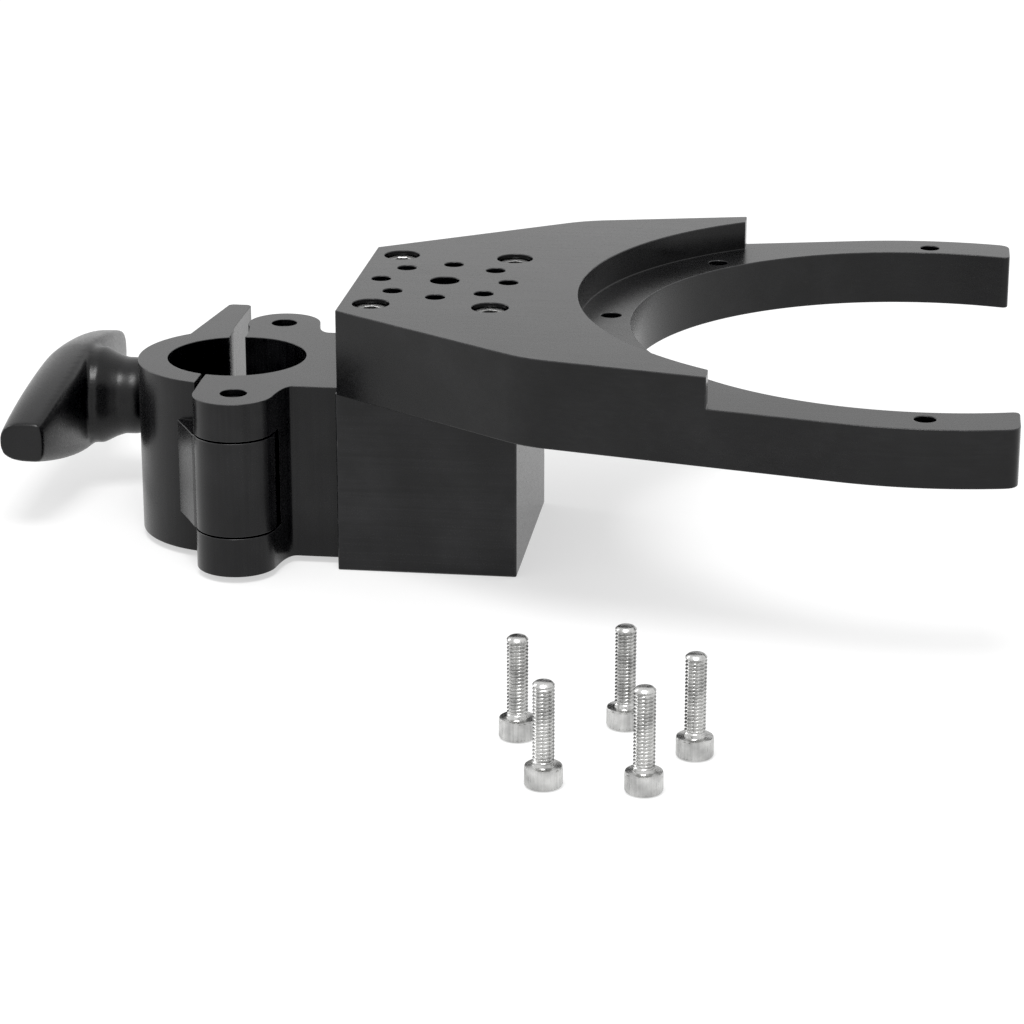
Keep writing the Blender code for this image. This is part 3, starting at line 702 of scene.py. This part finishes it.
# Threads -----------------------------------------------------------------------------------------
def thread_radius(z, theta, radius, pitch):
    """A 60 degree thread with flat crests and roots, right-handed about +Z."""
    phase = (z / pitch - theta / (2 * math.pi)) % 1.0
    away = abs(phase - 0.5) * 2.0
    cut = min(1.0, max(0.0, (away - 0.12) / 0.66))
    return radius - 0.57 * pitch * cut


def threaded(name, rings_before, rings_after, z0, z1, radius, pitch, sides, per_turn=9):
    """A shank from z0 to z1 with rings before and after it, each (radius or function, z)."""
    work = bmesh.new()
    steps = max(8, int(round(abs(z1 - z0) / pitch * per_turn)))
    run = abs(z1 - z0)
    profile = list(rings_before)
    for i in range(steps + 1):
        z = z0 + (z1 - z0) * i / steps
        edge = min(abs(z - z0), abs(z1 - z)) / run
        fade = min(1.0, edge * run / (0.9 * pitch))

        def at(theta, z=z, fade=fade):
            return radius + (thread_radius(z, theta, radius, pitch) - radius) * fade

        profile.append((at, z))
    profile += list(rings_after)
    rings = []
    for r, z in profile:
        if r == 0.0:
            rings.append([work.verts.new((0.0, 0.0, z * MM))])
            continue
        ring = []
        for k in range(sides):
            theta = 2 * math.pi * k / sides
            reach = r(theta) if callable(r) else r
            ring.append(
                work.verts.new(
                    (reach * math.cos(theta) * MM, reach * math.sin(theta) * MM, z * MM)
                )
            )
        rings.append(ring)
    join_rings(work, rings)
    return from_bmesh(name, work)


def screw_mesh(name, head_r, head_h, shank_r, length, hexagon, depth, pitch, visible_thread):
    """A socket-head screw, head up, with its bearing face at z = 0. Its mesh is shared by its copies."""
    ridges, sides = (32, 128) if visible_thread else (32, 128)

    def knurled(depth_share):
        def at(theta):
            return head_r - 0.13 * depth_share * (0.5 - 0.5 * math.cos(ridges * theta))

        return at

    before = [
        (0.0, head_h),
        (head_r - 0.75, head_h),
        (head_r - 0.40, head_h - 0.03),
        (head_r - 0.16, head_h - 0.16),
        (head_r - 0.05, head_h - 0.36),
        (knurled(0.2), head_h - 0.46),
        (knurled(1.0), head_h - 0.66),
        (knurled(1.0), head_h * 0.5),
        (knurled(1.0), 0.62),
        (knurled(0.2), 0.40),
        (head_r - 0.03, 0.30),
        (head_r - 0.12, 0.10),
        (head_r - 0.32, 0.0),
        (shank_r + 0.28, 0.0),
        (shank_r + 0.08, -0.10),
        (shank_r, -0.32),
    ]
    after = [
        (shank_r - 0.12, -length + 0.36),
        (shank_r - 0.42, -length + 0.08),
        (shank_r - 0.60, -length),
        (0.0, -length),
    ]
    made = threaded(
        name,
        before,
        after,
        -0.55,
        -length + 0.5,
        shank_r,
        pitch if visible_thread else length,
        sides,
        9 if visible_thread else 1,
    )
    flat = hexagon / 2 / math.cos(math.pi / 6)
    key = lathe(
        name + "_key",
        [
            (0.0, head_h - depth - 0.55),
            (flat, head_h - depth),
            (flat, head_h - 0.16),
            (flat + 0.16, head_h),
            (flat + 0.16, head_h + 1.0),
            (0.0, head_h + 1.0),
        ],
        (0.0, 0.0, 0.0),
        "Z",
        6,
    )
    combine(made, [key])
    return made


def copies(source, placements, look):
    """One object for each placement, all with the same mesh."""
    dress(source, look, 32.0)
    for node, matrix in placements:
        made = new_object(node, source.data)
        made.matrix_world = matrix
        stand_for(made, node)
    bpy.data.objects.remove(source, do_unlink=True)


loose = screw_mesh("loose_source", M4_HEAD_R, M4_HEAD_H, M4_R, 16.0, M4_HEX, 2.0, M4_PITCH, True)
copies(
    loose,
    [
        (
            f"loose_screw_{i}",
            Matrix.Translation(Vector((x, y, M4_HEAD_H)) * MM)
            @ Matrix.Rotation(math.radians(37.0 * i), 4, "Z")
            @ Matrix.Rotation(math.pi, 4, "X"),
        )
        for i, (x, y) in enumerate(LOOSE_POSITIONS, 1)
    ],
    SCREW_LOOK,
)
fixed = screw_mesh("plate_source", M4_HEAD_R, M4_HEAD_H, M4_R, 25.0, M4_HEX, 2.0, M4_PITCH, True)
copies(
    fixed,
    [
        (
            f"plate_screw_{i}",
            Matrix.Translation(Vector((x, y, COUNTERBORE_FLOOR + SEAT_GAP)) * MM)
            @ Matrix.Rotation(math.radians(23.0 * i), 4, "Z"),
        )
        for i, (x, y) in enumerate(screw_spots, 1)
    ],
    # The darker stainless here is painted shade of the counterbores.
    SHADED_SUNK_SCREW_LOOK,
)
joining = screw_mesh("body_source", M5_HEAD_R, M5_HEAD_H, M5_R, 20.0, M5_HEX, 2.5, M5_PITCH, True)
copies(
    joining,
    [
        (
            f"body_screw_{i}",
            Matrix.Translation(Vector((BODY_SCREW_SEAT_X, 0.0, z)) * MM)
            @ Matrix.Rotation(-math.pi / 2, 4, "Y")
            @ Matrix.Rotation(math.radians(17.0 * i), 4, "Z"),
        )
        for i, z in enumerate(BODY_SCREW_Z, 1)
    ],
    DARK_LOOK,
)

# Swing bolt: the eye, and a shank threaded for most of its length ------------------------------
shank_length = PIVOT_X - 5.0 - BOLT_END_X
bolt = threaded(
    "swing_bolt_fine",
    [(0.0, 0.0), (BOLT_R, 0.0), (BOLT_R, 8.4)],
    [(BOLT_R - 0.25, shank_length - 0.30), (BOLT_R - 0.75, shank_length), (0.0, shank_length)],
    8.8,
    shank_length - 0.5,
    BOLT_R,
    BOLT_PITCH,
    72,
    10,
)
bolt.data.transform(
    Matrix.Translation(Vector((PIVOT_X - 5.0, PIVOT_Y, BOLT_Z)) * MM)
    @ Matrix.Rotation(-math.pi / 2, 4, "Y")
)
eye = lathe(
    "eye",
    [
        (0.0, -EYE_HALF),
        (EYE_R - 0.7, -EYE_HALF),
        (EYE_R - 0.2, -EYE_HALF + 0.2),
        (EYE_R, -EYE_HALF + 0.7),
        (EYE_R, EYE_HALF - 0.7),
        (EYE_R - 0.2, EYE_HALF - 0.2),
        (EYE_R - 0.7, EYE_HALF),
        (0.0, EYE_HALF),
    ],
    (PIVOT_X, PIVOT_Y, BOLT_Z),
    "Z",
    96,
)
combine(bolt, [eye], "UNION")
combine(bolt, [rod("eye_hole", PIN_HOLE_R, (PIVOT_X, PIVOT_Y, 0.0), 50.0, "Z", 56)])
dress(bolt, BOLT_LOOK, 34.0)
stand_for(bolt, "swing_bolt")

# Thrust washer ------------------------------------------------------------------------------------
inner_r, outer_r, half_t = WASHER_HOLE_R, WASHER_R, WASHER_T / 2
washer = lathe(
    "thrust_washer_fine",
    [
        (inner_r + 0.15, -half_t),
        (outer_r - 0.22, -half_t),
        (outer_r - 0.06, -half_t + 0.06),
        (outer_r, -half_t + 0.22),
        (outer_r, half_t - 0.22),
        (outer_r - 0.06, half_t - 0.06),
        (outer_r - 0.22, half_t),
        (inner_r + 0.15, half_t),
        (inner_r, half_t - 0.15),
        (inner_r, -half_t + 0.15),
        (inner_r + 0.15, -half_t),
    ],
    (WASHER_X - half_t, PIVOT_Y, BOLT_Z),
    "X",
    72,
)
weld = bmesh.new()
weld.from_mesh(washer.data)
bmesh.ops.remove_doubles(weld, verts=weld.verts, dist=0.000002)
bmesh.ops.recalc_face_normals(weld, faces=weld.faces)
weld.to_mesh(washer.data)
weld.free()
dress(washer, WASHER_LOOK, 34.0)
stand_for(washer, "thrust_washer")


# T-handle: the crossbar grows out of the hub in one moulded form -----------------------------------
def crossbar(name):
    sections, around = 72, 96
    work = bmesh.new()
    rings = []
    for i in range(sections + 1):
        u = -1.0 + 2.0 * i / sections
        w = abs(u)
        half_z = BAR_TIP_HALF_Z + (BAR_HALF_Z - BAR_TIP_HALF_Z) * (1.0 - w**1.5)
        inner_x = BAR_INNER_X + (BAR_TIP_INNER_X - BAR_INNER_X) * w**2
        depth = BAR_DEPTH + (BAR_TIP_DEPTH - BAR_DEPTH) * w**2
        inside = 3.0 - 0.4 * w
        ring = []
        for k in range(around):
            a = 2 * math.pi * k / around
            ca, sa = math.cos(a), math.sin(a)
            if ca > 0:
                px = inner_x - inside + inside * ca**0.45
            else:
                px = inner_x - inside - (depth - inside) * (-ca) ** (1.0 - 0.35 * w**2)
            pz = math.copysign(abs(sa) ** (0.8 - 0.1 * w**2), sa) * half_z
            ring.append(
                work.verts.new((px * MM, (PIVOT_Y + BAR_HALF * u) * MM, (BOLT_Z + pz) * MM))
            )
        rings.append(ring)
    join_rings(work, rings)
    work.faces.new(rings[0])
    work.faces.new(rings[-1][::-1])
    return from_bmesh(name, work)


handle = lathe(
    "t_handle_fine",
    [
        (0.0, 0.0),
        (HUB_END_R, 0.0),
        (HUB_END_R + 0.9, -1.2),
        (HUB_R, -2.6),
        (HUB_R, -5.4),
        (HUB_R + 0.8, -7.6),
        (HUB_R + 2.3, -10.4),
        (HUB_R + 2.3, HUB_BACK_X - HUB_X),
        (0.0, HUB_BACK_X - HUB_X),
    ],
    (HUB_X, PIVOT_Y, BOLT_Z),
    "X",
    96,
)
combine(handle, [crossbar("crossbar")], "UNION")
remesh = handle.modifiers.new("skin", "REMESH")
remesh.mode = "VOXEL"
remesh.voxel_size = 0.00045
smooth = handle.modifiers.new("blend", "SMOOTH")
smooth.factor = 0.5
smooth.iterations = 9
settle(handle)
room = lathe(
    "insert_room",
    [
        (0.0, 10.0),
        (INSERT_R + 0.3, 10.0),
        (INSERT_R + 0.3, -INSERT_LENGTH - 0.9),
        (INSERT_HOLE_R, -INSERT_LENGTH - 0.9),
        (INSERT_HOLE_R, -HUB_DEPTH),
        (0.0, -HUB_DEPTH),
    ],
    (HUB_X, PIVOT_Y, BOLT_Z),
    "X",
    72,
)
combine(handle, [room])
dress(handle, PLASTIC_LOOK, 45.0)
stand_for(handle, "t_handle")

# Brass insert, plain outside, with its chamfered mouth -------------------------------------------
insert = lathe(
    "handle_insert_fine",
    [
        (INSERT_HOLE_R + 0.45, 0.0),
        (INSERT_R - 0.25, 0.0),
        (INSERT_R, -0.25),
        (INSERT_R, -INSERT_LENGTH + 0.25),
        (INSERT_R - 0.25, -INSERT_LENGTH),
        (INSERT_HOLE_R + 0.3, -INSERT_LENGTH),
        (INSERT_HOLE_R, -INSERT_LENGTH + 0.3),
        (INSERT_HOLE_R, -0.45),
        (INSERT_HOLE_R + 0.45, 0.0),
    ],
    (HUB_X - 0.3, PIVOT_Y, BOLT_Z),
    "X",
    72,
)
weld = bmesh.new()
weld.from_mesh(insert.data)
bmesh.ops.remove_doubles(weld, verts=weld.verts, dist=0.000002)
bmesh.ops.recalc_face_normals(weld, faces=weld.faces)
weld.to_mesh(insert.data)
weld.free()
dress(insert, BRASS_LOOK, 34.0)
stand_for(insert, "handle_insert")

# Stage ---------------------------------------------------------------------------------------------
bpy.ops.mesh.primitive_plane_add(size=6.0, location=(0.0, 0.0, -0.00005))
floor = bpy.context.object
floor.name = "studio_floor"
paper = Nodes("floor_paper")
paper.link(
    paper.ramp(paper.noise(14.0, 2.0), (0.3, (0.34, 0.34, 0.34)), (0.7, (0.36, 0.36, 0.36))),
    paper.shader.inputs["Base Color"],
)
# The table is lit from below too, like a light box, so shadows on it stay faint.
paper.set(Roughness=0.9, Specular_IOR_Level=0.0, Emission_Color=(1.0, 1.0, 1.0, 1.0), Emission_Strength=0.56)
floor.data.materials.append(paper.material)

world = bpy.data.worlds.new("studio")
world.use_nodes = True
background = world.node_tree.nodes["Background"]
background.inputs["Color"].default_value = (1.0, 1.0, 1.0, 1.0)
background.inputs["Strength"].default_value = 1.05
bpy.context.scene.world = world


def softbox(name, place, aim, size, watts):
    data = bpy.data.lights.new(name, "AREA")
    data.shape = "RECTANGLE"
    data.size, data.size_y = size
    data.energy = watts
    made = bpy.data.objects.new(name, data)
    bpy.context.scene.collection.objects.link(made)
    made.location = place
    made.rotation_euler = (Vector(aim) - Vector(place)).to_track_quat("-Z", "Y").to_euler()


softbox("overhead", (0.0, -0.5, 1.15), (0.0, 0.0, 0.03), (0.5, 0.5), 11.0)
softbox("side_strip", (-1.0, 0.35, 0.5), (-0.04, 0.0, 0.03), (0.25, 0.9), 3.0)

camera_data = bpy.data.cameras.new("camera")
camera_data.sensor_width = 36.0
camera_data.lens = 114.29
camera_data.shift_x = -0.00303
camera_data.shift_y = -0.0073
camera_data.clip_start = 0.01
camera_data.clip_end = 20.0
camera = bpy.data.objects.new("camera", camera_data)
bpy.context.scene.collection.objects.link(camera)
camera.location = (0.100017, -0.664525, 0.234805)
camera.rotation_euler = (math.radians(90.0 - 18.7203), 0.0, math.radians(7.28))
bpy.context.scene.camera = camera
bpy.context.scene.view_settings.view_transform = "Standard"
bpy.context.scene.view_settings.use_curve_mapping = True
bpy.context.scene.view_settings.curve_mapping.black_level = (0.004, 0.004, 0.004)
bpy.context.scene.view_settings.curve_mapping.update()
